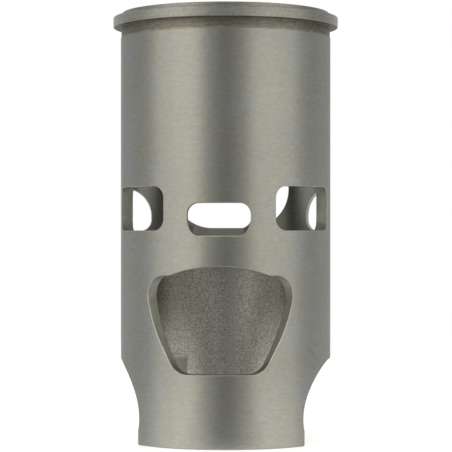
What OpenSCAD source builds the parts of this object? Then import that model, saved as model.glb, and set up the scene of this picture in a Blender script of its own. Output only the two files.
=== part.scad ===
// Ported cylinder liner for a two-stroke engine, supplied with its bore left undersize.
// It is one piece. The bore runs along +Z and the origin is the centre of the foot.
// The intake window faces -Y, the exhaust port +Y, and the two sides mirror each other.
// Bearings are in degrees round the bore, counted from the intake side towards +X.
// Port levels are depths below the gasket face. The foot's own cuts are heights above the foot.

/* [Wall] */
// Diameter of the skin that fits the cylinder block
skin_d = 73.2; // [71:0.1:75]
// Thickness of the wall, before the bore is bored out and honed
wall_t = 4; // [3:0.1:5.5]
// Height from the foot to the gasket face
liner_h = 148.5; // [145:0.5:170]
// Chamfer on the outer edges
edge_c = 0.3; // [0.1:0.1:0.6]
// Chamfer at both mouths of the bore
mouth_c = 0.6; // [0.2:0.1:1.5]

/* [Flange] */
// How far the flange stands out from the skin
flange_lip = 2.6; // [2:0.1:5]
// Thickness of the flange
flange_t = 3.5; // [2:0.1:6]
// Height of the spigot above the flange
spigot_h = 1.6; // [1:0.1:4]
// How far the spigot is set in from the skin
spigot_step = 0.4; // [0:0.1:1.5]
// Height of the relief groove under the flange
relief_h = 3.6; // [1:0.1:6]
// Depth of the relief groove
relief_t = 0.2; // [0.1:0.05:0.6]

/* [Transfer ports] */
// Depth of the transfer ports' floor
transfer_floor = 75.8; // [74:0.1:78]
// Height of the transfer ports
transfer_h = 14.8; // [11:0.1:17]
// Radius of the transfer ports' corners
transfer_r = 4; // [2:0.1:5]
// Bearing where the rear transfer ports start
rear_start = 31.1; // [28:0.1:40]
// Bearing where the rear transfer ports end
rear_end = 77.1; // [60:0.1:80]
// Bearing where the front transfer ports start
front_start = 90; // [86:0.1:96]
// Bearing where the front transfer ports end, at the bore
front_end = 121.8; // [110:0.1:124]
// Radius of the front transfer ports' upper corner on the exhaust side
front_top_r = 9.5; // [4:0.1:10.5]
// Angle between the front transfer ports' end face and the line from intake to exhaust
front_lean = 8.5; // [0:0.5:30]

/* [Boost port] */
// Width of the boost port
boost_w = 21.2; // [14:0.1:24]
// Depth of the boost port's roof
boost_roof = 66.7; // [65:0.1:68]
// Depth of the boost port's floor at the bore
boost_floor = 75; // [74:0.1:78]
// Drop of the boost port's floor from the bore to the skin
boost_drop = 2.6; // [0:0.1:5]
// Radius of the boost port's corners
boost_r = 3.8; // [2:0.1:3.9]

/* [Exhaust port] */
// Width of the exhaust port
exhaust_w = 42.4; // [34:0.1:44]
// Depth of the exhaust port's roof
exhaust_roof = 44.8; // [42:0.1:46]
// Depth of the exhaust port's floor
exhaust_floor = 74.8; // [74:0.1:78]
// Radius of the exhaust port's corners
exhaust_r = 14; // [6:0.1:14]

/* [Intake window] */
// Depth of the window's shoulders
window_shoulder = 90.9; // [88:0.1:93]
// Height of the window from its floor to its shoulders
window_h = 32.85; // [28:0.05:35]
// Rise of the arched roof above the shoulders
arch_rise = 3.1; // [1:0.1:4]
// Width of the arched roof, measured round the skin
arch_w = 34.8; // [20:0.1:36]
// Width of the window where its sides would meet its shoulders, measured round the skin
window_top_w = 58; // [56:0.1:60]
// Width of the window where its sides bow, measured round the skin
window_bow_w = 48.2; // [44:0.1:50]
// Height above the window's floor where its sides bow
window_bow_h = 15.85; // [14:0.05:17]
// Width of the window where its sides would meet its floor, measured round the skin
window_foot_w = 30; // [24:0.1:34]
// Radius of the window's upper corners
window_top_r = 6.9; // [3:0.1:7.5]
// Radius of the bow in the sides
window_bow_r = 50; // [20:1:55]
// Radius of the window's lower corners
window_foot_r = 7.8; // [4:0.1:9]

/* [Side cut-outs] */
// Height of the side cut-outs above the foot
side_h = 28.3; // [24:0.1:34]
// Distance from the bore axis to the cut-outs' edge on the intake side
side_intake = 23.7; // [21:0.1:25]
// Distance from the bore axis to the cut-outs' edge on the exhaust side
side_exhaust = 28.4; // [26:0.1:29]
// Radius of the cut-outs' upper corner on the intake side
side_intake_r = 19.25; // [8:0.25:20]
// Radius of the cut-outs' upper corner on the exhaust side
side_exhaust_r = 2.5; // [1:0.1:4]
// How much wider the intake-side tongue is at its foot than at its waist, on each side
side_flare = 0.45; // [0:0.05:1]

/* [Hidden] */
$fn = 96;

// Longest arc in degrees, and longest run in mm, between two points of an outline
arc_step = 6;
run_step = 2.5;
// Bearing where the turned wall starts and closes, which the exhaust port cuts away
seam = 183.75;
// How far the port cutters reach in from the bore wall, and out from it
cut_in = 24;
cut_out = 18;
// How far a cutter overshoots a face that it only has to clear
over = 3;

skin_r = skin_d / 2;
bore_r = skin_r - wall_t;
flange_r = skin_r + flange_lip;
spigot_r = skin_r - spigot_step;
groove_r = skin_r - relief_t;
flange_z = liner_h - spigot_h;
seat_z = flange_z - flange_t;
groove_z = seat_z - relief_h;

transfer_z = liner_h - transfer_floor;
boost_roof_z = liner_h - boost_roof;
boost_floor_z = liner_h - boost_floor;
boost_bend_z = boost_roof_z - boost_r;
exhaust_z = liner_h - exhaust_floor;
exhaust_h = exhaust_floor - exhaust_roof;
shoulder_z = liner_h - window_shoulder;
window_z = shoulder_z - window_h;

function unit(v) = v / norm(v);

// Arc that rounds corner b of an outline, which runs from corner a to corner c.
// A corner is [across, up, radius], and a radius of 0 leaves it sharp.
function round_corner(a, b, c) =
    let (
        tip = [b.x, b.y],
        r = b[2],
        back = unit([a.x, a.y] - tip),
        ahead = unit([c.x, c.y] - tip),
        half = acos(back * ahead) / 2,
        centre = tip + unit(back + ahead) * r / sin(half),
        start = tip + back * r / tan(half) - centre,
        first = atan2(start.y, start.x),
        turn = sign(cross(-back, ahead)) * (180 - 2 * half),
        count = ceil(abs(turn) * max(1 / arc_step, r * PI / 180 / run_step))
    )
    r == 0 ? [tip] : [
        for (i = [0:count])
            let (angle = first + turn * i / count)
            centre + r * [cos(angle), sin(angle)]
    ];

// Closed outline through a list of corners, with points added along its long straight runs
function outline(corners) =
    let (
        n = len(corners),
        points = [for (i = [0:n - 1]) each round_corner(corners[(i + n - 1) % n], corners[i], corners[(i + 1) % n])],
        m = len(points)
    )
    [
        for (i = [0:m - 1])
            let (run = points[(i + 1) % m] - points[i], count = ceil(norm(run) / run_step))
            for (j = [0:count - 1]) points[i] + run * j / count
    ];

// The left-hand corners that mirror the right-hand ones, in the order that carries the outline on
function mirrored(corners) =
    [for (i = [len(corners) - 1:-1:0]) [-corners[i].x, corners[i].y, corners[i][2]]];

// Arched roof of the window, an arc from its right end to its left end
arch_r = (pow(arch_w / 2, 2) + pow(arch_rise, 2)) / (2 * arch_rise);
arch_half = asin(arch_w / 2 / arch_r);
arch_count = ceil(arch_w / run_step);
arch = [
    for (i = [0:arch_count])
        let (angle = arch_half * (1 - 2 * i / arch_count))
        [arch_r * sin(angle), shoulder_z + arch_rise - arch_r * (1 - cos(angle)), 0]
];

// The window laid flat, with its widths measured round the skin
window_side = [
    [window_foot_w / 2, window_z, window_foot_r],
    [window_bow_w / 2, window_z + window_bow_h, window_bow_r],
    [window_top_w / 2, shoulder_z, window_top_r]
];
window_flat = outline(concat(window_side, arch, mirrored(window_side)));

// The boost port at the bore. At the skin, what is below its bend is stretched down to the dropped floor.
boost_side = [
    [boost_w / 2, boost_floor_z, boost_r],
    [boost_w / 2, boost_roof_z, boost_r]
];
boost_at_bore = outline(concat(boost_side, mirrored(boost_side)));
boost_stretch = boost_drop / (boost_bend_z - boost_floor_z);
boost_at_skin = [for (p = boost_at_bore) [p.x, p.y - max(0, boost_bend_z - p.y) * boost_stretch]];

// Outline whose points lie at given distances round the skin, as seen square on at a smaller radius
function rolled(flat, r) = [for (p = flat) [r * sin(p.x / skin_r * 180 / PI), p.y]];

// Point on the intake side, at a distance in front of the bore axis, on the straight line through
// one point of an outline at the bore and the same point at the skin
function along(at_bore, at_skin, distance) =
    let (
        bore_y = sqrt(bore_r * bore_r - at_bore.x * at_bore.x),
        skin_y = sqrt(skin_r * skin_r - at_skin.x * at_skin.x),
        p = at_bore + (at_skin - at_bore) * (distance - bore_y) / (skin_y - bore_y)
    )
    [p.x, -distance, p.y];

// Cutter through the wall on the intake side, ruled from an outline at the bore to one at the skin.
// Each of its flat ends is a fan of triangles round a point in its middle.
module ruled_cutter(at_bore, at_skin) {
    n = len(at_bore);
    widest = max([for (p = at_bore) p.x]);
    inner_y = sqrt(bore_r * bore_r - widest * widest) - over;
    outer_y = skin_r + over;
    inner = [for (i = [0:n - 1]) along(at_bore[i], at_skin[i], inner_y)];
    outer = [for (i = [0:n - 1]) along(at_bore[i], at_skin[i], outer_y)];
    middle_z = (min([for (p = inner) p.z]) + max([for (p = inner) p.z])) / 2;
    middles = [[0, -inner_y, middle_z], [0, -outer_y, middle_z]];
    faces = [
        for (i = [0:n - 1])
            let (j = (i + 1) % n)
            each [[i, n + j, j], [i, n + i, n + j], [i, j, 2 * n], [n + j, n + i, 2 * n + 1]]
    ];
    polyhedron(concat(inner, outer, middles), faces);
}

// Stands a flat shape up, square to a bearing, and carries it outwards from a start for a length
module facing(bearing, start, length) {
    rotate([90, 0, bearing])
        translate([0, 0, start])
            linear_extrude(height = length)
                children();
}

// Rectangle from its lower left corner, with the radii of its corners given from there anticlockwise
module rounded_rect(size, radii) {
    corners = [[0, 0], [size.x, 0], size, [0, size.y]];
    difference() {
        square(size);
        for (i = [0:3]) {
            if (radii[i] > 0) {
                translate(corners[i])
                    rotate(90 * i)
                        difference() {
                            translate([-1, -1])
                                square(radii[i] + 1);
                            translate([radii[i], radii[i]])
                                circle(r = radii[i]);
                        }
            }
        }
    }
}

// Half of a transfer port: a flat end face that meets the bore at a bearing and is cut along a
// heading. The port lies on the side of rising bearings, or of falling ones where it is turned back.
module port_end(bearing, heading, turned_back, low_r, top_r) {
    rotate(bearing)
        translate([0, -bore_r, 0])
            rotate(heading - bearing)
                facing(0, -cut_in, cut_in + cut_out)
                    mirror([turned_back ? 1 : 0, 0])
                        translate([0, transfer_z])
                            rounded_rect([skin_r, transfer_h], [low_r, 0, 0, top_r]);
}

// The transfer port beside the intake window, on the +X side
module rear_transfer() {
    intersection() {
        port_end(rear_start, rear_start, false, transfer_r, transfer_r);
        port_end(rear_end, rear_end, true, transfer_r, transfer_r);
    }
}

// The transfer port beside the exhaust, on the +X side. Its end face aims the flow at the intake side.
module front_transfer() {
    intersection() {
        port_end(front_start, front_start, false, transfer_r, transfer_r);
        port_end(front_end, 180 - front_lean, true, transfer_r, front_top_r);
    }
}

module transfer_ports() {
    for (side = [0, 1]) {
        mirror([side, 0, 0]) {
            rear_transfer();
            front_transfer();
        }
    }
}

// The port over the intake window, with straight sides and a floor that ramps up to the bore
module boost_port() {
    ruled_cutter(boost_at_bore, boost_at_skin);
}

module exhaust_port() {
    facing(180, bore_r / 2, skin_r)
        translate([-exhaust_w / 2, exhaust_z])
            rounded_rect([exhaust_w, exhaust_h], [exhaust_r, exhaust_r, exhaust_r, exhaust_r]);
}

// The window that the inlet tract feeds, with its sides cut square to the bore all the way round
module intake_window() {
    ruled_cutter(rolled(window_flat, bore_r), rolled(window_flat, skin_r));
}

// One cut through both sides of the foot, which leaves a tongue at the intake and one at the exhaust
module side_cutouts() {
    arc_x = side_intake_r - side_intake;
    arc_z = side_h - side_intake_r;
    facing(90, -skin_r - over, skin_d + 2 * over) {
        translate([arc_x, arc_z])
            circle(r = side_intake_r);
        translate([side_flare - side_intake, -over])
            square([side_intake - side_flare + side_exhaust, arc_z + over]);
        translate([arc_x, -over])
            rounded_rect([side_exhaust - arc_x, side_h + over], [0, 0, side_exhaust_r, 0]);
    }
}

// Section of the wall, turned round the bore axis
module wall() {
    rotate(seam - 90)
        rotate_extrude()
            polygon([
                [bore_r + mouth_c, 0],
                [skin_r - edge_c, 0],
                [skin_r, edge_c],
                [skin_r, groove_z],
                [groove_r, groove_z],
                [groove_r, seat_z],
                [flange_r - edge_c, seat_z],
                [flange_r, seat_z + edge_c],
                [flange_r, flange_z - edge_c],
                [flange_r - edge_c, flange_z],
                [spigot_r, flange_z],
                [spigot_r, liner_h - edge_c],
                [spigot_r - edge_c, liner_h],
                [bore_r + mouth_c, liner_h],
                [bore_r, liner_h - mouth_c],
                [bore_r, mouth_c]
            ]);
}

module liner() {
    color([0.55, 0.54, 0.5])
        difference() {
            wall();
            transfer_ports();
            boost_port();
            exhaust_port();
            intake_window();
            side_cutouts();
        }
}

liner();
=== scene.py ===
"""Ported cylinder liner: one turned piece with its ports, intake window and forked foot.

The liner's own lengths are in mm until piece() turns them into metres. The materials and the
studio are in metres. A bearing is in degrees round the bore, counted from the intake side (-Y)
towards +X. Heights are above the foot.
"""
import math

import bpy
import numpy as np
from mathutils.geometry import delaunay_2d_cdt
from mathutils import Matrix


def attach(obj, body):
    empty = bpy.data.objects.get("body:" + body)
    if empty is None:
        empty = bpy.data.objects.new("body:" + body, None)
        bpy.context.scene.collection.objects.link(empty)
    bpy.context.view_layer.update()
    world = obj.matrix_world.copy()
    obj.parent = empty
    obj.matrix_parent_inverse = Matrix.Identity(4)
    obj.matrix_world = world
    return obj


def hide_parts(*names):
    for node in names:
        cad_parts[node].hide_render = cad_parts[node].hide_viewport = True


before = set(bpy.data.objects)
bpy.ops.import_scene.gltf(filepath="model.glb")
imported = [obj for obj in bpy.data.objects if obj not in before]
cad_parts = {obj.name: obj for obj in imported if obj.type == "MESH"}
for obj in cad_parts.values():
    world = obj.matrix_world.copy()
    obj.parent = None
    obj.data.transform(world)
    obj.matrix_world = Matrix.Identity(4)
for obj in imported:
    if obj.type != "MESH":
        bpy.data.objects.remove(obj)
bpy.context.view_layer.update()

# Turned section, the same as in the solid: skin, bore and height, relief groove, flange and its
# seat, spigot, the chamfer outside at the foot and the one at both mouths of the bore
SKIN_R, BORE_R, LINER_H = 36.6, 32.6, 148.5
GROOVE_R, GROOVE_Z = 36.4, 139.8
FLANGE_R, FLANGE_Z, SEAT_Z = 39.2, 146.9, 143.4
SPIGOT_R = 36.2
EDGE_C, MOUTH_C = 0.3, 0.6

# Transfer ports: floor, roof and corners, and the bearings of their end faces. The front port's
# far end leans and has a larger upper corner. Its two upper corners run into each other at the
# bore, at these angles of their arcs.
TRANSFER_Z, TRANSFER_TOP, TRANSFER_R = 72.7, 87.5, 4.0
REAR_START, REAR_END = 31.1, 77.1
FRONT_START, FRONT_END = 90.0, 121.8
FRONT_TOP_R, FRONT_LEAN, FRONT_MEET = 9.5, 8.5, (66.4, 74.4)

# Boost and exhaust port: width, roof, floor and corners, and the fall of the boost port's floor
BOOST_W, BOOST_ROOF, BOOST_FLOOR, BOOST_R, BOOST_DROP = 21.2, 81.8, 73.5, 3.8, 2.6
EXHAUST_W, EXHAUST_ROOF, EXHAUST_FLOOR, EXHAUST_R = 42.4, 103.7, 73.7, 14.0

# Intake window, laid flat: the corners of its side (across, up, radius) from the floor to the
# shoulder, and the width, rise and end corners of its arched roof
WINDOW_Z, SHOULDER_Z = 24.75, 57.6
WINDOW_SIDE = ((15.0, WINDOW_Z, 7.8), (24.1, WINDOW_Z + 15.85, 50.0), (29.0, SHOULDER_Z, 6.9))
ARCH_W, ARCH_RISE, ARCH_END_R = 34.8, 3.1, 0.5

# Side cut-outs: roof, distances of both faces from the bore axis, radius of the bowed side,
# corner at the exhaust side, and how far the bowed side comes back at the foot
SIDE_H, SIDE_INTAKE, SIDE_EXHAUST = 28.3, 23.7, 28.4
SIDE_ROUND, SIDE_CORNER, SIDE_FLARE = 19.25, 2.5, 0.45

# Rounding of the tongues' corners, width of the broken edges round the ports, the length over
# which a tongue's own edge changes into that, the most widths that a sharp corner moves back, and
# the angles at which a broken edge is drawn
FOOT_R, EDGE_BREAK, TONGUE_FADE, MITRE = 0.5, 0.22, 2.0, 2.5
BREAK_ANGLES = (0, 30, 60, 90)

# How finely lines are drawn: degrees in an arc, mm along a straight side, degrees round the rim,
# and numbers of points in the arch, a transfer port's corner, face, roof and floor, and the
# foot's heel, bow, corner, intake tongue, roof and exhaust tongue. JOIN is the part of an arc, in
# degrees, that the roof's pairs follow where two corners of a port run into each other.
ARC_STEP, RUN, RIM_STEP = 5.0, 1.4, 2.0
ARCH_POINTS = 25
CORNER_POINTS, FACE_POINTS, ROOF_POINTS, FLOOR_POINTS = 15, 7, 8, 16
HEEL_POINTS, BOW_POINTS, SIDE_CORNER_POINTS = 6, 48, 9
TONGUE_POINTS, SIDE_ROOF_POINTS, TAIL_POINTS = 34, 34, 28
JOIN = 12

# Unrolled walls: the bearing of the cut, the step along it, the net's steps and the least
# squared distance that it keeps from the lines, the gap below which two points are one, and the
# slack in comparing angles and heights
CUT, CUT_STEP = 84.0, 2.0
NET, NET_CLEAR = (1.9, 2.1), 1.1
SAME_POINT, NEARLY = 1e-7, 1e-6

# Rim: how far it reaches down the skin below the groove and down the bore, and points in an arc
RIM_SKIN, RIM_BORE, RIM_ARC = 1.2, 1.6, 6

# Finishes, in the order of the liner's materials, and the name of its flat coordinates
TURNED, BORED, MILLED, RELIEF, RIM = range(5)
FLAT = "wall"
MM = 0.001

# Range that holds nearly all of a noise, gloss turned a quarter so that it smears across tool
# lines that run round the axis, share of gloss at a glancing angle, and the cooler tint of clouds
NOISE = (0.3, 0.7)
ROUND_AXIS = 0.25
EDGE_GLOSS = 0.65
COOLER = (0.97, 0.99, 1.08)

# Numbers of a Mix node's sockets: its share, two values and their mix, two colours and their mix
MIX_SHARE = 0
VALUE_A, VALUE_B, VALUE_OUT = 2, 3, 0
COLOUR_A, COLOUR_B, COLOUR_OUT = 6, 7, 2

# Faint handling marks on the skin, laid flat in mm: place round and up, length, width, turn in
# degrees, shade
HANDLING_MARKS = (
    (36.0, 31.5, 11.0, 1.6, -35.0, 0.84), (39.5, 34.0, 6.0, 2.4, -20.0, 0.9),
    (-33.0, 2.2, 3.4, 2.0, 10.0, 0.9), (-38.0, 116.0, 2.2, 1.2, 60.0, 0.88),
    (41.0, 121.0, 5.0, 1.0, 80.0, 0.92), (-36.5, 66.0, 7.0, 1.2, 15.0, 0.93),
    (38.0, 12.0, 2.0, 1.4, 0.0, 0.9))

# Camera: distance from the bore axis, height, degrees round from the intake side, width of a
# pixel at the axis, the frame and the shift in pixels, and the sensor in mm
CAMERA_FAR, CAMERA_UP, CAMERA_TURN = 0.6615, 0.0715, 3.7
PIXEL, FRAME, SHIFT, SENSOR = 0.00035, 452, (0.4, 8), 36

# Studio: its level light, and white where it is seen
ROOM, WHITE = (0.9, 0.9, 0.9), (1, 1, 1)

# Lamps (azimuth, width, power in watts) and upright cards (azimuth, width, grey) stand on the
# floor, all at one distance and of one height. An azimuth is in degrees round from the camera.
STUDIO_FAR, STUDIO_H = 1.0, 1.3
LAMPS = (("left key", -41.5, 0.58, 3.9), ("left fill", -70.0, 0.42, 2.0),
         ("right key", 41.5, 0.58, 2.9), ("right fill", 70.0, 0.42, 1.65))
LAMP_COLOUR = (1.0, 0.95, 0.76)
CARDS = (("grey screen", 0.0, 0.34, 0.4), ("left screen", -17.6, 0.26, 0.74),
         ("right screen", 17.6, 0.26, 0.74), ("left flag", -106.0, 0.5, 0.68),
         ("right flag", 106.0, 0.5, 0.66), ("back screen", 176.3, 0.5, 0.45))
CARD_COLOUR, CARD_GLOW = (0.02, 0.02, 0.02), (1, 0.99, 0.95)

# A card within this azimuth has an apron, just above the floor: its brightness and its near end,
# each as a share of the card's own, and its height. The ceiling has half sizes and a height.
APRON_WITHIN, APRON_SHARE, APRON_START, APRON_UP = 30.0, 0.9, 0.04, 0.0005
CEILING, CEILING_GREY = (0.8, 0.8, 1.4), 0.5

# Floor: a disc with its radius, sides, colour, roughness and the glow that makes it white where
# it is seen
FLOOR_R, FLOOR_SIDES = 0.6, 96
FLOOR_COLOUR, FLOOR_ROUGHNESS, FLOOR_GLOW = (0.62, 0.62, 0.61), 0.3, 0.52


def at(r, bearing, z):
    """Point at a radius, bearing and height: (r sin b, -r cos b, z)."""
    b = np.radians(bearing)
    return np.stack(np.broadcast_arrays(r * np.sin(b), -r * np.cos(b), z), -1)


def unit(v):
    """v over its own length."""
    return v / np.maximum(np.linalg.norm(v, axis=-1, keepdims=True), 1e-12)


def bearing_of(points):
    """Bearing of each point, unrolled so that it runs from CUT - 360 up to CUT."""
    b = np.degrees(np.arctan2(points[:, 0], -points[:, 1]))
    return np.where(b > CUT + NEARLY, b - 360, b)


def corner_arc(before, corner, after, r):
    """Arc of radius r, tangent to both sides of a corner. Its centre lies on the line that halves
    the corner's angle, r / sin(half the angle) away. Returns the centre, the angle at which the
    arc starts, and the angle that it turns through, which is positive to the left."""
    back, ahead = unit(before - corner), unit(after - corner)
    half = math.acos(np.clip(back @ ahead, -1, 1)) / 2
    centre = corner + unit(back + ahead) * r / math.sin(half)
    first = corner + back * r / math.tan(half) - centre
    side = -back[0] * ahead[1] + back[1] * ahead[0]
    return centre, math.atan2(first[1], first[0]), math.copysign(math.pi - 2 * half, side)


def rounded(corners):
    """Closed outline through corners (across, up, radius): an arc of that radius at each corner,
    in steps of ARC_STEP degrees, and points every RUN mm along the straight sides."""
    flat = np.array([corner[:2] for corner in corners], float)
    parts = []
    for before, corner, after, (_, _, r) in zip(np.roll(flat, 1, 0), flat, np.roll(flat, -1, 0),
                                                corners):
        if r == 0:
            parts.append(corner[None])
            continue
        centre, start, turn = corner_arc(before, corner, after, r)
        count = max(2, math.ceil(abs(turn) * max(180 / math.pi / ARC_STEP, r / RUN)))
        t = start + turn * np.linspace(0, 1, count + 1)
        parts.append(centre + r * np.stack([np.cos(t), np.sin(t)], 1))
    return filled(np.concatenate(parts), closed=True)


def filled(points, closed=False):
    """The same line with points added, evenly, wherever two neighbours lie over RUN mm apart."""
    ends = np.roll(points, -1, 0) if closed else points[1:]
    starts = points if closed else points[:-1]
    parts = []
    for a, b in zip(starts, ends):
        count = max(1, math.ceil(np.linalg.norm(b - a) / RUN - 1e-9))
        parts.append(a + (b - a) * np.arange(count)[:, None] / count)
    if not closed:
        parts.append(points[-1:])
    return np.concatenate(parts)


def intake_window():
    """Window as pairs of points at the bore and the skin: laid flat, widths are measured round
    the skin, and each pair stands at one bearing. The arch is part of a circle of the radius
    (width^2 / 4 + rise^2) / (2 rise)."""
    arch_r = (ARCH_W ** 2 / 4 + ARCH_RISE ** 2) / (2 * ARCH_RISE)
    t = np.linspace(1, -1, ARCH_POINTS) * math.asin(ARCH_W / 2 / arch_r)
    ends = np.isin(np.arange(ARCH_POINTS), (0, ARCH_POINTS - 1))
    arch = np.stack([arch_r * np.sin(t), SHOULDER_Z + ARCH_RISE - arch_r * (1 - np.cos(t)),
                     ARCH_END_R * ends], 1)
    other_side = [(-x, z, r) for x, z, r in WINDOW_SIDE[::-1]]
    flat = rounded([*WINDOW_SIDE, *arch, *other_side])
    bearing = np.degrees(flat[:, 0] / SKIN_R)
    return at(BORE_R, bearing, flat[:, 1]), at(SKIN_R, bearing, flat[:, 1])


def rectangle(half, floor, roof, r):
    """Rounded rectangle that starts at the floor at half, and ends there at -half."""
    return rounded([(half, floor, r), (half, roof, r), (-half, roof, r), (-half, floor, r)])


def along_y(r, way, x, z):
    """Points of a cylinder of radius r on the side of -Y or +Y: (x, way sqrt(r^2 - x^2), z)."""
    return np.stack([x, way * np.sqrt(r ** 2 - x ** 2), z], 1)


def boost_port():
    """Boost port as pairs of points: the sides run straight along Y, and below its bend the
    outline at the skin is stretched down by the floor's fall."""
    x, z = rectangle(BOOST_W / 2, BOOST_FLOOR, BOOST_ROOF, BOOST_R).T
    bend = BOOST_ROOF - BOOST_R
    low = z - np.maximum(0, bend - z) * BOOST_DROP / (bend - BOOST_FLOOR)
    return along_y(BORE_R, -1, x, z), along_y(SKIN_R, -1, x, low)


def exhaust_port():
    """Exhaust port as pairs of points: a rounded rectangle carried straight along Y."""
    x, z = rectangle(-EXHAUST_W / 2, EXHAUST_FLOOR, EXHAUST_ROOF, EXHAUST_R).T
    return along_y(BORE_R, 1, x, z), along_y(SKIN_R, 1, x, z)


def end_points(end, radius, low, top):
    """Points of one end of a transfer port at a radius, from the floor up: the lower corner at
    the angles low, the straight face, and the upper corner at the angles top. The face stands on
    the bore at a bearing and runs out along a heading, and both corners are arcs across it: a
    point at distance s from the face goes out along the heading h until it meets the radius R,
    |foot + s p + t h| = R."""
    bearing, heading, inwards, low_r, top_r = end
    h = at(1.0, heading, 0.0)[:2]
    p = at(1.0, heading + 90 * inwards, 0.0)[:2]
    low, top = np.radians(low), np.radians(top)
    run = np.linspace(TRANSFER_Z + low_r, TRANSFER_TOP - top_r, FACE_POINTS)[1:-1]
    s = np.concatenate([low_r * (1 - np.cos(low)), 0 * run, top_r * (1 - np.cos(top))])
    z = np.concatenate([TRANSFER_Z + low_r * (1 - np.sin(low)), run,
                        TRANSFER_TOP - top_r * (1 - np.sin(top))])
    start = at(BORE_R, bearing, 0.0)[:2] + s[:, None] * p
    along = start @ h
    t = -along + np.sqrt(along ** 2 - (start ** 2).sum(1) + radius ** 2)
    return np.concatenate([start + t[:, None] * h, z[:, None]], 1)


def transfer_port(end_a, end_b, meet=(90.0, 90.0)):
    """Transfer port between two end faces, as pairs of points. Its floor and roof are level, with
    evenly spaced pairs from one end to the other. The second end lies at the rising bearings.
    Where the two upper corners run into each other at the bore, meet is the angle of each arc at
    that point. The second arc then ends JOIN degrees before it, and the roof's pairs follow the
    rest."""
    quarter = np.linspace(0, 90, CORNER_POINTS)
    joined = meet[1] < 90
    stops = (meet[0], meet[1] - JOIN * joined)
    lines = []
    for radius in (BORE_R, SKIN_R):
        ends = []
        for end, stop in zip((end_a, end_b), stops):
            top = quarter
            if radius == BORE_R:
                top = np.where(quarter < 45, quarter, 45 + (quarter - 45) * (stop - 45) / 45)
            ends.append(end_points(end, radius, quarter[::-1], top))
        a, b = ends
        roof = even(b[-1], a[-1], ROOF_POINTS)
        if joined and radius == BORE_R:
            rest = np.linspace(stops[1], meet[1], ROOF_POINTS + 2)[1:-1]
            roof = end_points(end_b, radius, [0], rest)[-ROOF_POINTS:]
        lines.append(np.concatenate([even(a[0], b[0], FLOOR_POINTS), b, roof, a[::-1]]))
    return tuple(lines)


def even(p, q, count):
    """count points between p and q at their own radius and height, evenly spaced in bearing."""
    start, end = bearing_of(np.array([p, q]))
    b = np.linspace(start, end, count + 2)[1:-1]
    return at(np.linalg.norm(p[:2]), b, p[2])


def mirrored(pairs):
    """The same port on the -X side, still running anticlockwise as seen from outside."""
    return tuple(side[::-1] * [-1, 1, 1] for side in pairs)


def foot_line():
    """The foot's edge all the way round, as pairs of points. Half of it follows the tongue at the
    intake, up and over the side cut-out, and the tongue at the exhaust, and the other half
    mirrors it. The cut-out is cut along X, so a pair keeps its own y, and over its level roof the
    pairs turn radial at the bearing CUT. The line runs towards falling bearings, so that the
    metal stays on its right."""
    arc_y, arc_z = SIDE_ROUND - SIDE_INTAKE, SIDE_H - SIDE_ROUND
    edge_y = SIDE_FLARE - SIDE_INTAKE
    rise = arc_z - math.sqrt(SIDE_ROUND ** 2 - (edge_y - arc_y) ** 2)
    t = np.radians(np.linspace(90, 0, HEEL_POINTS))
    heel = FOOT_R * np.stack([1 - np.cos(t), 1 - np.sin(t)], 1)
    face = filled(np.array([[edge_y, FOOT_R], [edge_y, rise]]))
    first = 2 * math.pi - math.acos((edge_y - arc_y) / SIDE_ROUND)
    t = np.linspace(first, math.pi / 2, BOW_POINTS)
    bow = np.stack([arc_y + SIDE_ROUND * np.cos(t), arc_z + SIDE_ROUND * np.sin(t)], 1)
    near = np.concatenate([heel * [-1, 1] + [edge_y, 0], face[1:], bow[1:]])
    t = np.radians(np.linspace(90, 0, SIDE_CORNER_POINTS))
    corner = np.stack([SIDE_EXHAUST - SIDE_CORNER + SIDE_CORNER * np.cos(t),
                       SIDE_H - SIDE_CORNER + SIDE_CORNER * np.sin(t)], 1)
    fall = filled(np.array([[SIDE_EXHAUST, SIDE_H - SIDE_CORNER], [SIDE_EXHAUST, FOOT_R]]))
    far = np.concatenate([corner, fall[1:-1], heel[::-1] + [SIDE_EXHAUST, 0]])

    def half_line(r):
        """Bearings and heights of half the line, where it stands on the radius r."""
        def bearing_at(y):
            return np.degrees(np.arccos(-y / r))
        tongue = np.linspace(0, bearing_at(near[0, 0]), TONGUE_POINTS)[:-1]
        roof = np.concatenate([
            np.linspace(bearing_at(arc_y), CUT, 3)[1:],
            np.linspace(CUT, bearing_at(far[0, 0]), SIDE_ROOF_POINTS)[1:-1]])
        tail = np.linspace(bearing_at(far[-1, 0]), 180, TAIL_POINTS)[1:]
        b = np.concatenate([tongue, bearing_at(near[:, 0]), roof, bearing_at(far[:, 0]), tail])
        z = np.concatenate([0 * tongue, near[:, 1], 0 * roof + SIDE_H, far[:, 1], 0 * tail])
        return b, z

    both = []
    for r in (BORE_R, SKIN_R):
        b, z = half_line(r)
        both.append(np.concatenate([at(r, b, z)[::-1], at(r, -b, z)[1:-1]]))
    start = int(np.argmin(sum(abs(bearing_of(side) - CUT) for side in both)))
    return [np.roll(side, -start, 0) for side in both]


def foot_widths(line, foot_width):
    """Width of the broken edge at each point of the foot's line: the foot's own where it stands,
    the ports' elsewhere, with a steady change over the last TONGUE_FADE mm of each tongue."""
    to_intake, to_exhaust = abs(line[:, 1] + SIDE_INTAKE), abs(line[:, 1] - SIDE_EXHAUST)
    share = np.clip((np.minimum(to_intake, to_exhaust) - FOOT_R) / TONGUE_FADE, 0, 1)
    return EDGE_BREAK + (foot_width - EDGE_BREAK) * share * (line[:, 2] < NEARLY)


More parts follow.
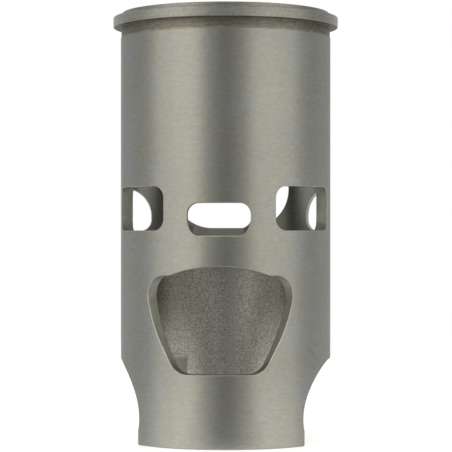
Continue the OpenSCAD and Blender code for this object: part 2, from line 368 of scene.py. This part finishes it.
def set_back(line, widths, around):
    """How far each point of a closed flat line moves into the metal on its right: by its width
    across the two sides that meet there, so along their mean normal by width / cos(half the angle
    between them), and by MITRE widths at most. The flat plane closes on itself after the length
    around."""
    d = np.roll(line, -1, 0) - line
    d[:, 0] = (d[:, 0] + around / 2) % around - around / 2
    n2 = unit(d)[:, ::-1] * [1, -1]
    n1 = np.roll(n2, 1, 0)
    c = np.sqrt((1 + (n1 * n2).sum(1)) / 2)
    return unit(n1 + n2) * (widths / np.maximum(c, 1 / MITRE))[:, None]


def unrolled(points, r):
    """Points on a cylinder laid flat: (arc length, height)."""
    return np.stack([np.radians(bearing_of(points)) * r, points[:, 2]], 1)


def rolled(flat, r):
    """Flat points put back on their cylinder."""
    return at(r, np.degrees(flat[:, 0] / r), flat[:, 1])


def broken_edge(side, r, facing, widths, into, face_n):
    """Round edge between a cylinder and a port's wall, as rings from the cylinder to the wall. At
    the angle t a ring lies at side + out (1 - sin t) + width into (1 - cos t), where side is the
    sharp edge, out the step from it to the line on the cylinder, and into runs along the wall.
    Returns the rings, their normals and the line on the cylinder, laid flat."""
    flat = unrolled(side, r)
    flat[:, 0] = np.unwrap(flat[:, 0], period=2 * math.pi * r)
    line = flat + set_back(flat, widths, 2 * math.pi * r)
    start = rolled(line, r)
    out, along = start - side, widths[:, None] * into
    radial = unit(side * [1, 1, 0]) * facing
    rings, normals = [], []
    for t in np.radians(BREAK_ANGLES):
        rings.append(side + out * (1 - math.sin(t)) + along * (1 - math.cos(t)))
        normals.append(unit(radial * math.cos(t) + face_n * math.sin(t)))
    rings[0] = start
    return rings, normals, line


def jamb(inner, outer, inner_widths, outer_widths):
    """Wall of a port, from the skin to the bore, with a broken edge at each end. Every pair of
    points gives one straight ruling. Returns the patch, and the flat lines that it leaves on the
    skin and the bore."""
    ruling = unit(inner - outer)
    middle = (inner + outer) / 2
    tangent = unit(np.roll(middle, -1, 0) - middle) + unit(middle - np.roll(middle, 1, 0))
    face_n = unit(np.cross(tangent, ruling))
    skin_p, skin_n, skin_line = broken_edge(outer, SKIN_R, 1, outer_widths, ruling, face_n)
    bore_p, bore_n, bore_line = broken_edge(inner, BORE_R, -1, inner_widths, -ruling, face_n)
    between = [skin_p[-1] * (1 - share) + bore_p[-1] * share for share in (0.25, 0.5, 0.75)]
    p = np.array(skin_p + between + bore_p[::-1])
    n = np.array(skin_n + [face_n] * len(between) + bore_n[::-1])
    p, n = (np.concatenate([a, a[:, :1]], 1) for a in (p, n))
    steps = np.linalg.norm(np.diff(p[len(p) // 2], axis=0), axis=1)
    length = np.concatenate([[0], np.cumsum(steps)])
    depth = np.concatenate([[0], np.cumsum(np.linalg.norm(np.diff(p, axis=0), axis=2).mean(1))])
    uv = np.stack(np.broadcast_arrays(length[None, :], depth[:, None]), -1)
    return grid_patch(p, n, uv, MILLED), skin_line, bore_line


def grid_patch(p, n, uv, zone):
    """Patch from a grid of points: quads turned so that (along a row) x (down a column) points
    outwards."""
    rows, cols = p.shape[:2]
    k = np.arange(rows * cols).reshape(rows, cols)
    quads = np.stack([k[:-1, :-1], k[:-1, 1:], k[1:, 1:], k[1:, :-1]], -1).reshape(-1, 4)
    zones = np.repeat(np.broadcast_to(zone, rows - 1), cols - 1)
    return {"p": p.reshape(-1, 3), "n": n.reshape(-1, 3), "uv": uv.reshape(-1, 2),
            "f": quads, "zone": zones}


def inside(points, loops):
    """Even-odd test of flat points against closed loops, some 2000 points at a time."""
    hit = np.zeros(len(points), bool)
    for loop in loops:
        a, b = loop, np.roll(loop, -1, 0)
        lo, hi = np.minimum(a[:, 1], b[:, 1]), np.maximum(a[:, 1], b[:, 1])
        slope = (b[:, 0] - a[:, 0]) / np.where(b[:, 1] == a[:, 1], 1, b[:, 1] - a[:, 1])
        for part in np.array_split(np.arange(len(points)), max(1, len(points) // 2000)):
            x, y = points[part, 0][:, None], points[part, 1][:, None]
            crossed = (y >= lo) & (y < hi) & (x < a[:, 0] + (y - a[:, 1]) * slope)
            hit[part] ^= (crossed.sum(1) % 2).astype(bool)
    return hit


def net_between(loops, left, right, top):
    """Net of even points inside the loops and clear of their lines, with every other row moved by
    half a step. The distances are taken in 12 parts, to save memory."""
    wide, high = NET
    x, z = np.meshgrid(np.arange(left, right, wide), np.arange(0, top, high))
    x = x + wide / 2 * (np.arange(len(x)) % 2)[:, None]
    net = np.stack([x.ravel(), z.ravel()], 1)
    net = net[inside(net, loops)]
    edge = np.concatenate(loops)
    nearest = [((part[:, None] - edge) ** 2).sum(2).min(1) for part in np.array_split(net, 12)]
    return net[np.concatenate(nearest) > NET_CLEAR]


def wall_patch(r, facing, foot, holes, top, zone):
    """Skin or bore, unrolled, cut open at CUT and meshed flat: a net of even points between the
    foot's line, the top and the ports' lines, joined into triangles that keep those lines, then
    rolled up again. Normals are the cylinder's own."""
    around, whole = np.radians(CUT) * r, 2 * math.pi * r
    foot = foot[::-1]
    foot = np.concatenate([foot[-1:] - [whole, 0], foot])
    cut = np.arange(foot[0, 1] + CUT_STEP, top - CUT_STEP / 2, CUT_STEP)
    rim = np.radians(np.arange(CUT, CUT - 360 - NEARLY, -RIM_STEP)) * r
    outer = np.concatenate([
        foot,
        np.stack([cut * 0 + around, cut], 1),
        np.stack([rim, rim * 0 + top], 1),
        np.stack([cut * 0 + around - whole, cut[::-1]], 1)])
    loops = [outer] + holes
    points = np.concatenate(loops + [net_between(loops, around - whole, around, top)])
    borders, base = [], 0
    for loop in loops:
        k = np.arange(len(loop)) + base
        borders.append(np.stack([k, np.roll(k, -1)], 1))
        base += len(loop)
    borders = np.concatenate(borders)
    found = delaunay_2d_cdt(points.tolist(), borders.tolist(), [], 0, SAME_POINT)
    source = np.array([origin[0] for origin in found[3]])
    tris = source[np.array(found[2])]
    tris = tris[inside(points[tris].mean(1), loops)]
    a, b, c = (points[tris[:, i]] for i in range(3))
    turn = (b[:, 0] - a[:, 0]) * (c[:, 1] - a[:, 1]) - (b[:, 1] - a[:, 1]) * (c[:, 0] - a[:, 0])
    tris = np.where((turn * facing > 0)[:, None], tris, tris[:, ::-1])
    p = rolled(points, r)
    n = unit(p * [1, 1, 0]) * facing
    return {"p": p, "n": n, "uv": points, "f": tris, "zone": np.full(len(tris), zone)}


def rim_profile():
    """Half section of the top, from the skin over the relief groove, flange and spigot to the
    bore: straight lines joined by small arcs. Each corner has a radius, a height, a rounding and
    the finish that follows it. Returns the points, their normals and the finish of each step."""
    corners = [
        (SKIN_R, GROOVE_Z, 0.08, RELIEF), (GROOVE_R, GROOVE_Z, 0.08, RELIEF),
        (GROOVE_R, SEAT_Z, 0.3, RELIEF), (FLANGE_R, SEAT_Z, 0.25, RIM),
        (FLANGE_R, FLANGE_Z, 0.35, RIM), (SPIGOT_R, FLANGE_Z, 0.15, RIM),
        (SPIGOT_R, LINER_H, 0.35, RIM), (BORE_R + MOUTH_C, LINER_H, 0.2, RIM),
        (BORE_R, LINER_H - MOUTH_C, 0.2, BORED)]
    line = np.array([(SKIN_R, GROOVE_Z - RIM_SKIN), *(corner[:2] for corner in corners),
                     (BORE_R, LINER_H - RIM_BORE)])
    points, normals, zones = [line[:1]], [[(1.0, 0.0)]], [TURNED]
    for before, here, after, (_, _, r, zone) in zip(line, line[1:], line[2:], corners):
        centre, start, turn = corner_arc(before, here, after, r)
        t = start + turn * np.linspace(0, 1, RIM_ARC)
        ray = np.stack([np.cos(t), np.sin(t)], 1)
        points.append(centre + r * ray)
        normals.append(ray * math.copysign(1, turn))
        zones += [zone] * RIM_ARC
    points.append(line[-1:])
    normals.append([(-1.0, 0.0)])
    return np.concatenate(points), np.concatenate(normals), zones


def rim_patch():
    """The top's half section turned round the bore axis, in steps of RIM_STEP degrees. Returns
    the patch, and the heights at which it starts on the skin and ends in the bore."""
    line, side, zones = rim_profile()
    bearing = np.arange(CUT - 360, CUT + NEARLY, RIM_STEP)
    p = at(line[:, 0][:, None], bearing[None, :], line[:, 1][:, None])
    n = at(side[:, 0][:, None], bearing[None, :], side[:, 1][:, None])
    steps = np.linalg.norm(np.diff(line, axis=0), axis=1)
    run = np.concatenate([[0], np.cumsum(steps)]) + line[0, 1]
    uv = np.stack(np.broadcast_arrays(np.radians(bearing)[None, :] * SKIN_R, run[:, None]), -1)
    return grid_patch(p, n, uv, zones), line[0, 1], line[-1, 1]


def new_object(name, data):
    """Object of a mesh, lamp or camera, put into the scene."""
    obj = bpy.data.objects.new(name, data)
    bpy.context.scene.collection.objects.link(obj)
    return obj


def piece(name, patches, materials):
    """One closed mesh from all patches: points that coincide to four decimals are joined, faces
    that shrink to a line are left out, and each corner keeps the normal and the flat position
    that its own patch gives it."""
    p, n, uv = (np.concatenate([patch[key] for patch in patches]) for key in ("p", "n", "uv"))
    base = np.cumsum([0] + [len(patch["p"]) for patch in patches])
    _, first, same = np.unique(np.round(p, 4), axis=0, return_index=True, return_inverse=True)
    same = same.ravel()
    faces, corners, zones = [], [], []
    for patch, start in zip(patches, base):
        f = patch["f"] + start
        g = same[f]
        good = (g != np.roll(g, 1, 1)).all(1)
        faces += g[good].tolist()
        corners.append(f[good].ravel())
        zones.append(patch["zone"][good])
    corners = np.concatenate(corners)
    mesh = bpy.data.meshes.new(name)
    mesh.from_pydata((p[first] * MM).tolist(), [], faces)
    layer = mesh.uv_layers.new(name=FLAT)
    layer.data.foreach_set("uv", (uv[corners] * MM).astype(np.float32).ravel())
    mesh.polygons.foreach_set("material_index", np.concatenate(zones).astype(np.int32))
    mesh.polygons.foreach_set("use_smooth", np.ones(len(mesh.polygons), bool))
    for material in materials:
        mesh.materials.append(material)
    mesh.normals_split_custom_set(n[corners].tolist())
    return new_object(name, mesh)


def liner_wall(materials):
    """The whole liner: the walls of its ports and of its foot, its rim, its skin and its bore. An
    end of a transfer port is given as end_points takes it."""
    rear = transfer_port((REAR_START, REAR_START, 1, TRANSFER_R, TRANSFER_R),
                         (REAR_END, REAR_END, -1, TRANSFER_R, TRANSFER_R))
    front = transfer_port((FRONT_START, FRONT_START, 1, TRANSFER_R, TRANSFER_R),
                          (FRONT_END, 180 - FRONT_LEAN, -1, TRANSFER_R, FRONT_TOP_R), FRONT_MEET)
    ports = [intake_window(), boost_port(), exhaust_port(), rear, front,
             mirrored(rear), mirrored(front)]
    patches, skin_holes, bore_holes = [], [], []
    for inner, outer in ports:
        widths = np.full(len(inner), EDGE_BREAK)
        port, skin_line, bore_line = jamb(inner, outer, widths, widths)
        patches.append(port)
        skin_holes.append(skin_line)
        bore_holes.append(bore_line)
    inner, outer = foot_line()
    foot, skin_foot, bore_foot = jamb(inner, outer, foot_widths(inner, MOUTH_C),
                                      foot_widths(outer, EDGE_C))
    rim, skin_top, bore_top = rim_patch()
    patches += [foot, rim, wall_patch(SKIN_R, 1, skin_foot, skin_holes, skin_top, TURNED),
                wall_patch(BORE_R, -1, bore_foot, bore_holes, bore_top, BORED)]
    return piece("liner_wall", patches, materials)


def connect(n, inputs):
    """Sets a node's inputs, by name or number, each to a constant or to another node's output."""
    for key, value in inputs.items():
        if isinstance(value, bpy.types.NodeSocket):
            n.id_data.links.new(value, n.inputs[key])
        else:
            n.inputs[key].default_value = value


def node(tree, kind, inputs=None, **properties):
    """New shader node with its properties and then its inputs set."""
    n = tree.nodes.new(kind)
    for key, value in properties.items():
        setattr(n, key, value)
    connect(n, inputs or {})
    return n


def laid_out(tree, wide=200, high=320):
    """Places the nodes in columns, so that each stands to the left of all that it feeds."""
    column = {n.name: 0 for n in tree.nodes}
    for _ in tree.nodes:
        for link in tree.links:
            source = link.from_node.name
            column[source] = max(column[source], column[link.to_node.name] + 1)
    in_column = {}
    for n in tree.nodes:
        row = in_column.setdefault(column[n.name], 0)
        in_column[column[n.name]] += 1
        n.location = (-wide * column[n.name], -high * row)


def metal(name, colour, roughness, anisotropic, rotation, edge=EDGE_GLOSS):
    """Bare metal with its constant numbers on the shader's own sockets. The rotation turns its
    smeared gloss, and edge is the share of gloss at a glancing angle."""
    material = bpy.data.materials.new(name)
    material.use_nodes = True
    tree = material.node_tree
    shader = tree.nodes["Principled BSDF"]
    connect(shader, {"Base Color": (*colour, 1), "Metallic": 1, "Roughness": roughness,
                     "Anisotropic": anisotropic, "Anisotropic Rotation": rotation,
                     "Specular Tint": (edge, edge, edge, 1)})
    return material, tree, shader


def object_place(tree):
    """Object coordinates."""
    return node(tree, "ShaderNodeTexCoord").outputs["Object"]


def flat_place(tree):
    """The piece's own flat coordinates."""
    return node(tree, "ShaderNodeUVMap", uv_map=FLAT).outputs["UV"]


def grain(tree, place, scale, detail, roughness):
    """Noise on stretched coordinates: the scale gives cycles per metre along each axis."""
    mapping = node(tree, "ShaderNodeMapping", {"Vector": place, "Scale": scale})
    noise = node(tree, "ShaderNodeTexNoise", {"Vector": mapping.outputs["Vector"], "Scale": 1,
                                              "Detail": detail, "Roughness": roughness})
    return noise.outputs["Fac"]


def level(tree, value, low, high, at_low, at_high):
    """Linear change of a value from one range to another, kept inside the second."""
    change = node(tree, "ShaderNodeMapRange", {
        "Value": value, "From Min": low, "From Max": high, "To Min": at_low, "To Max": at_high})
    return change.outputs["Result"]


def spread(tree, noise, middle, by):
    """Noise as a value within by of a middle."""
    return level(tree, noise, *NOISE, middle - by, middle + by)


def combined(tree, operation, a, b):
    """Two values added, multiplied or compared for the larger, as the operation says."""
    return node(tree, "ShaderNodeMath", {0: a, 1: b}, operation=operation).outputs[0]


def product(tree, *values):
    """Product of several values."""
    whole = values[0]
    for value in values[1:]:
        whole = combined(tree, "MULTIPLY", whole, value)
    return whole


def tinted(tree, shader, colour, shade):
    """Base colour: a plain colour, or one from a node, times a shade."""
    scaled = node(tree, "ShaderNodeVectorMath", {0: colour, "Scale": shade}, operation="SCALE")
    connect(shader, {"Base Color": scaled.outputs["Vector"]})


def finished(tree, shader, height, strength, depth):
    """Last steps of a metal: bump from a height value, with its depth in metres, gloss that
    follows the piece's own flat coordinates, and the nodes laid out."""
    bump = node(tree, "ShaderNodeBump", {"Height": height, "Strength": strength,
                                         "Distance": depth})
    tangent = node(tree, "ShaderNodeTangent", direction_type="UV_MAP", uv_map=FLAT)
    connect(shader, {"Normal": bump.outputs["Normal"], "Tangent": tangent.outputs["Tangent"]})
    laid_out(tree)


def by_height(tree, place, low, high, at_low, at_high, uneven=0.0):
    """Shade that changes steadily between two heights above the foot. Where it is uneven, slow
    noise shifts the heights up and down by about that much."""
    height = node(tree, "ShaderNodeSeparateXYZ", {0: place}).outputs["Z"]
    if uneven:
        wander = grain(tree, place, (160, 160, 160), 3, 0.6)
        shift = level(tree, wander, 0.2, 0.8, -2 * uneven, 2 * uneven)
        height = combined(tree, "ADD", height, shift)
    return level(tree, height, low, high, at_low, at_high)


def handling_mark(tree, flat, across, up, long, wide, turn, shade):
    """Shade of one faint mark laid flat, in mm and degrees: an ellipse of a length and a width,
    turned, that fades out steadily from its middle to its rim."""
    mapping = node(tree, "ShaderNodeMapping", {
        "Vector": flat, "Location": (across * MM, up * MM, 0),
        "Rotation": (0, 0, math.radians(turn)), "Scale": (long / 2 * MM, wide / 2 * MM, 1)},
        vector_type="TEXTURE")
    reach = node(tree, "ShaderNodeVectorMath", {0: mapping.outputs["Vector"]}, operation="LENGTH")
    return level(tree, reach.outputs["Value"], 0, 1, shade, 1)


def turned_metal(name, colour, roughness, anisotropic, dashes, clouds, heights=(),
                 grit=(420, 420, 1300), edge=EDGE_GLOSS, marks=()):
    """Turned surface: short fine dashes round the axis and soft clouds in the shade, each with
    its own contrast, a cooler tint in the brighter clouds, and tool lines in the relief. Its
    gloss is smeared across the tool lines. Each entry of heights is a steady change of the shade,
    as by_height takes it, grit is the dashes' scale, edge the share of gloss at a glancing angle,
    and each of marks a faint handling mark."""
    material, tree, shader = metal(name, colour, roughness, anisotropic, ROUND_AXIS, edge)
    place = object_place(tree)
    flat = flat_place(tree) if marks else None
    dash = grain(tree, place, grit, 3, 0.6)
    tool = grain(tree, place, (30, 30, 2600), 2, 0.6)
    cloud = grain(tree, place, (110, 110, 120), 3, 0.6)
    broad = grain(tree, place, (22, 22, 30), 2, 0.5)
    shade = product(tree, spread(tree, dash, 1, dashes), spread(tree, tool, 1, dashes / 3),
                    spread(tree, cloud, 1, clouds), spread(tree, broad, 1, clouds),
                    *(by_height(tree, place, *change) for change in heights),
                    *(handling_mark(tree, flat, *mark) for mark in marks))
    cooler = [part * change for part, change in zip(colour, COOLER)]
    mixed = node(tree, "ShaderNodeMix", {
        MIX_SHARE: level(tree, cloud, 0.44, 0.66, 0, 1),
        COLOUR_A: (*colour, 1), COLOUR_B: (*cooler, 1)}, data_type="RGBA")
    tinted(tree, shader, mixed.outputs[COLOUR_OUT], shade)
    connect(shader, {"Roughness": spread(tree, cloud, roughness, 0.02)})
    finished(tree, shader, tool, 0.2, 0.03 * MM)
    return material


def bored_metal():
    """Rough-bored wall: close speckle of torn grains over shallow tool lines round the axis. It
    is cut more cleanly above the window, so the speckle is fainter there, and the wall is darker
    there by painted shade."""
    colour = (0.352, 0.351, 0.314)
    material, tree, shader = metal("rough bored iron", colour, 0.38, 0.78, ROUND_AXIS)
    place = object_place(tree)
    speck = grain(tree, place, (2700, 2700, 2900), 1, 0.6)
    lines = grain(tree, place, (60, 60, 1500), 2, 0.5)
    torn = node(tree, "ShaderNodeMix", {
        MIX_SHARE: by_height(tree, place, 0.062, 0.074, 1, 0.35),
        VALUE_A: 1, VALUE_B: spread(tree, speck, 1, 0.53)})
    shade = product(tree, torn.outputs[VALUE_OUT],
                    # The first factor here darkens the wall above the window: painted shade.
                    by_height(tree, place, 0.056, 0.074, 1, 0.6), spread(tree, lines, 1, 0.05))
    tinted(tree, shader, colour, shade)
    finished(tree, shader, lines, 0.35, 0.04 * MM)
    return material


def milled_metal():
    """Milled port walls: cutter marks that follow the port's outline. Low in the window, down to
    about the height of the side cut-outs' roofs, the walls are brighter by painted light."""
    colour = (0.34, 0.336, 0.298)
    material, tree, shader = metal("milled port walls", colour, 0.5, 0.6, 0)
    place, flat = object_place(tree), flat_place(tree)
    marks = grain(tree, flat, (90, 2400, 1), 3, 0.6)
    cloud = grain(tree, flat, (260, 260, 1), 2, 0.5)
    shade = product(tree, spread(tree, marks, 1, 0.12), spread(tree, cloud, 1, 0.08),
                    # Painted light: brighter low in the window; the next factor takes it back
                    # below the side cut-outs' roofs.
                    by_height(tree, place, 0.029, 0.054, 1.6, 0.95),
                    by_height(tree, place, 0.0272, 0.0295, 0.63, 1))
    tinted(tree, shader, colour, shade)
    finished(tree, shader, marks, 0.3, 0.06 * MM)
    return material


def heading(azimuth):
    """Angle of an azimuth round from the intake side, and its level directions outwards and to
    the right as seen from outside: (sin a, -cos a, 0) and (cos a, sin a, 0)."""
    a = math.radians(azimuth + CAMERA_TURN)
    return a, np.array([math.sin(a), -math.cos(a), 0]), np.array([math.cos(a), math.sin(a), 0])


def aimed(name, data, azimuth, away, up):
    """Lamp or camera at a distance and height, which looks level at the bore axis."""
    a, outwards, _ = heading(azimuth)
    obj = new_object(name, data)
    obj.location = outwards * away + [0, 0, up]
    obj.rotation_euler = (math.radians(90), 0, a)
    return obj


def seen_rays(tree):
    """1 for camera, glossy and transmission rays, and 0 for the others."""
    rays = node(tree, "ShaderNodeLightPath").outputs
    either = combined(tree, "MAXIMUM", rays["Is Camera Ray"], rays["Is Glossy Ray"])
    return combined(tree, "MAXIMUM", either, rays["Is Transmission Ray"])


def staged(name, points):
    """Flat studio surface through a ring of points, with its node tree and shader."""
    mesh = bpy.data.meshes.new(name)
    mesh.from_pydata(np.array(points).tolist(), [], [list(range(len(points)))])
    obj = new_object(name, mesh)
    material = bpy.data.materials.new(name)
    material.use_nodes = True
    mesh.materials.append(material)
    return obj, material.node_tree, material.node_tree.nodes["Principled BSDF"]


def card(name, corners, grey):
    """Grey card of an even brightness. Only gloss sees it, so it shows as a stripe on the liner,
    and neither lights nor shades anything."""
    obj, _, shader = staged(name, corners)
    connect(shader, {"Base Color": (*CARD_COLOUR, 1), "Roughness": 1,
                     "Emission Color": (*CARD_GLOW, 1), "Emission Strength": grey})
    obj.visible_camera = obj.visible_diffuse = obj.visible_shadow = False


def surroundings():
    """World at a plain level, which is seen as white."""
    world = bpy.data.worlds.new("studio")
    bpy.context.scene.world = world
    world.use_nodes = True
    tree = world.node_tree
    tree.nodes.clear()
    room = node(tree, "ShaderNodeBackground", {"Color": (*ROOM, 1)})
    white = node(tree, "ShaderNodeBackground", {"Color": (*WHITE, 1)})
    mix = node(tree, "ShaderNodeMixShader", {
        0: seen_rays(tree), 1: room.outputs[0], 2: white.outputs[0]})
    node(tree, "ShaderNodeOutputWorld", {"Surface": mix.outputs[0]})
    laid_out(tree)


def studio():
    """Two soft lamps on each side, and grey cards round the liner, which its skin shows as soft
    dark stripes: three screens at the camera's side with their aprons on the floor, a flag at
    each side, a screen behind and a ceiling. The floor keeps the liner's shadow."""
    for name, azimuth, width, power in LAMPS:
        lamp = bpy.data.lights.new(name, "AREA")
        lamp.shape = "RECTANGLE"
        lamp.size, lamp.size_y = width, STUDIO_H
        lamp.energy = power
        lamp.color = LAMP_COLOUR
        aimed(name, lamp, azimuth, STUDIO_FAR, STUDIO_H / 2).visible_camera = False

    top, low = np.array([0, 0, STUDIO_H]), np.array([0, 0, APRON_UP])
    for name, azimuth, width, grey in CARDS:
        _, outwards, sideways = heading(azimuth)
        right = outwards * STUDIO_FAR + sideways * width / 2
        left = outwards * STUDIO_FAR - sideways * width / 2
        card(name, [right + top, left + top, left, right], grey)
        if abs(azimuth) < APRON_WITHIN:
            card(name + " apron", [right * APRON_START + low, right + low, left + low,
                                   left * APRON_START + low], APRON_SHARE * grey)
    x, y, z = CEILING
    card("grey ceiling", [(-x, -y, z), (-x, y, z), (x, y, z), (x, -y, z)], CEILING_GREY)

    turn = np.arange(FLOOR_SIDES) * 2 * math.pi / FLOOR_SIDES
    ring = FLOOR_R * np.stack([np.cos(turn), np.sin(turn), 0 * turn], 1)
    _, tree, shader = staged("floor", ring)
    glow = level(tree, seen_rays(tree), 0, 1, 0, FLOOR_GLOW)
    connect(shader, {"Base Color": (*FLOOR_COLOUR, 1), "Roughness": FLOOR_ROUGHNESS,
                     "Emission Color": (*WHITE, 1), "Emission Strength": glow})
    laid_out(tree)


def camera():
    """Level camera that looks at the bore axis, with the lens that makes a pixel as wide there as
    PIXEL: sensor x distance / (pixel x frame)."""
    data = bpy.data.cameras.new("camera")
    data.sensor_width = SENSOR
    data.lens = SENSOR * CAMERA_FAR / (PIXEL * FRAME)
    data.shift_x, data.shift_y = (shift / FRAME for shift in SHIFT)
    data.clip_start = 0.01
    bpy.context.scene.camera = aimed("camera", data, 0, CAMERA_FAR, CAMERA_UP)


wall = liner_wall([
    turned_metal("turned skin", (0.244, 0.244, 0.22), roughness=0.45, anisotropic=0.81,
                 # The heights entry brightens the skin towards the foot: painted reflection of
                 # the floor.
                 dashes=0.08, clouds=0.038, heights=[(0, 0.028, 1.22, 1)],
                 grit=(520, 520, 1300), marks=HANDLING_MARKS),
    bored_metal(),
    milled_metal(),
    turned_metal("relief groove", (0.128, 0.12, 0.096), roughness=0.5, anisotropic=0.5,
                 dashes=0.25, clouds=0.1,
                 # The first heights entry darkens the groove towards the flange: painted shade
                 # under its overhang. The second moves the groove's lower border up unevenly.
                 heights=[(0.1399, 0.1433, 1.2, 0.95), (0.14, 0.1403, 1.5, 1, 0.0001)]),
    turned_metal("turned rim", (0.218, 0.216, 0.194), roughness=0.5, anisotropic=0.6,
                 dashes=0.2, clouds=0.08, grit=(1300, 1300, 1700), edge=1.0)])
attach(wall, "root")
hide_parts("liner")
surroundings()
studio()
camera()
bpy.context.scene.view_settings.view_transform = "Standard"
